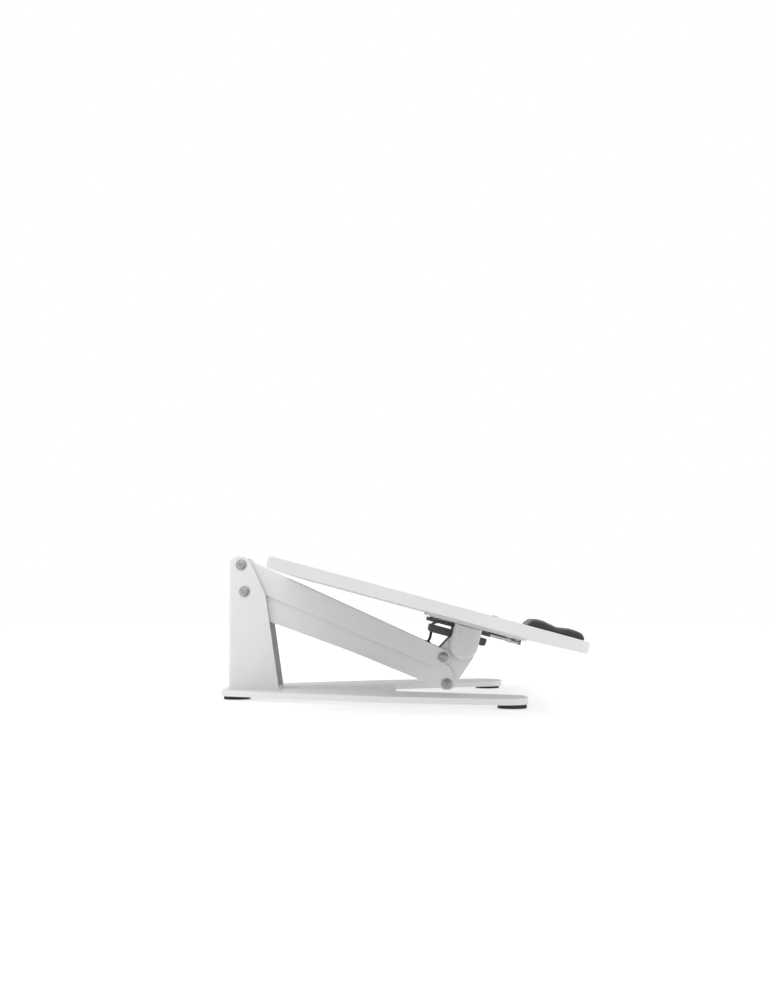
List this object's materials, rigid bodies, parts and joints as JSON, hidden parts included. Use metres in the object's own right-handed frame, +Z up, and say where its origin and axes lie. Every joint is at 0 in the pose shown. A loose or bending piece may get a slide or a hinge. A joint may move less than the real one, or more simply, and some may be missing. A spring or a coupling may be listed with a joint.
{
  "type": "standing desk converter",
  "caption": "Sit-stand desk riser: a parallelogram arm on a V-shaped base lifts a wide desktop that tilts at its front pivot, with a palm pad at each end.",
  "frame": {"origin": "on the floor under the middle of the object's box, lowered", "axes": "+Z up, -Y towards the user, X along the desktop's width"},
  "size_m": [0.9, 0.5232, 0.2231],
  "materials": {
    "white_powder_coat": "satin powder coat",
    "white_board": "white satin laminate",
    "white_plastic": "satin moulded",
    "nylon": "natural",
    "rubber_feet": "matte",
    "zinc_bolts": "zinc plated",
    "steel": "ground",
    "chrome_rod": "polished",
    "black_metal": "satin black",
    "black_plastic": "fine texture",
    "cable_jacket": "smooth",
    "palm_pad": "soft black skin"
  },
  "bodies": {
    "base": {"base_plate": "white_powder_coat", "foot_rear_left": "rubber_feet", "foot_rear_right": "rubber_feet", "foot_front_left": "rubber_feet", "foot_front_right": "rubber_feet", "tower": "white_powder_coat", "tower_screws": "zinc_bolts", "rear_upper_axle": "steel", "rear_lower_axle": "steel", "rear_washers": "zinc_bolts", "rear_bolts": "zinc_bolts", "rear_upper_bushes": "nylon", "rear_lower_bushes": "nylon", "spring_anchor": "steel", "spring_anchor_pin": "steel"},
    "upper_arm": {"upper_link": "white_powder_coat", "cable_grommet": "black_plastic", "release_wire": "steel"},
    "lower_arm": {"lower_link": "white_powder_coat"},
    "knuckle_frame": {"knuckle": "white_powder_coat", "front_upper_axle": "steel", "front_lower_axle": "steel", "front_washers": "zinc_bolts", "front_bolts": "zinc_bolts", "front_spacers": "nylon", "cable_loop": "cable_jacket"},
    "tabletop": {"desktop": "white_board", "mounting_plate": "white_powder_coat", "ear_left": "white_powder_coat", "ear_right": "white_powder_coat", "tilt_axle": "steel", "tilt_spacers": "nylon", "pivot_cover_left": "white_plastic", "pivot_cover_right": "white_plastic", "plate_screws": "zinc_bolts", "tilt_carrier": "black_metal", "mechanism_block": "black_metal", "palm_pad_left": "palm_pad", "palm_pad_right": "palm_pad", "lever_housing": "white_plastic", "lever_screws": "zinc_bolts", "lever_pin": "steel", "lever_spring": "steel", "cable_clips": "black_plastic", "release_cable": "cable_jacket"},
    "lever": {"hand_lever": "black_plastic"},
    "rod": {"spring_rod": "chrome_rod", "release_head": "black_metal", "cam_pin": "steel"},
    "cam": {"release_cam": "steel"},
    "barrel": {"spring_barrel": "black_metal", "rod_guide": "steel", "spring_eye": "black_metal"}
  },
  "joints": [
    {"name": "lift", "type": "hinge", "parent": "base", "child": "upper_arm", "pos_m": [0, 0.23397, 0.20979], "axis": [-1, 0, 0], "range_deg": [0, 74.5]},
    {"name": "lower_arm_pivot", "type": "hinge", "parent": "base", "child": "lower_arm", "pos_m": [0, 0.22843, 0.16775], "axis": [-1, 0, 0], "range_deg": [0, 74.5]},
    {"name": "knuckle_pivot", "type": "hinge", "parent": "upper_arm", "child": "knuckle_frame", "pos_m": [0, -0.08478, 0.0652], "axis": [-1, 0, 0], "range_deg": [-74.5, 0], "deforming": ["cable_loop"]},
    {"name": "tilt", "type": "hinge", "parent": "knuckle_frame", "child": "tabletop", "pos_m": [0, -0.11697, 0.0834], "axis": [-1, 0, 0], "range_deg": [0, 15.1]},
    {"name": "rod_pivot", "type": "hinge", "parent": "knuckle_frame", "child": "rod", "pos_m": [0, -0.08478, 0.0652], "axis": [-1, 0, 0], "range_deg": [0, 74.8]},
    {"name": "rod_stroke", "type": "slide", "parent": "rod", "child": "barrel", "axis": [0, 0.93, 0.3675], "range_m": [0, 0.02604]},
    {"name": "lever_squeeze", "type": "hinge", "parent": "tabletop", "child": "lever", "pos_m": [0.3, -0.19185, 0.0922], "axis": [-1, 0, 0], "range_deg": [0, 8], "stiffness_Nm_per_rad": 0.8, "springref_deg": -11.46},
    {"name": "cam_turn", "type": "hinge", "parent": "rod", "child": "cam", "pos_m": [0, -0.06353, 0.06015], "axis": [1, 0, 0], "range_deg": [0, 12]}
  ],
  "couplings": [
    {"joint": "lower_arm_pivot", "follows": "lift", "ratio": 1},
    {"joint": "knuckle_pivot", "follows": "lift", "ratio": -1},
    {"joint": "tilt", "follows": "lift", "ratio": 0.20268},
    {"joint": "rod_pivot", "follows": "lift", "ratio": 1.003},
    {"joint": "rod_stroke", "follows": "lift", "m_per_rad": 0.01964},
    {"joint": "cam_turn", "follows": "lever_squeeze", "ratio": 1.5}
  ]
}
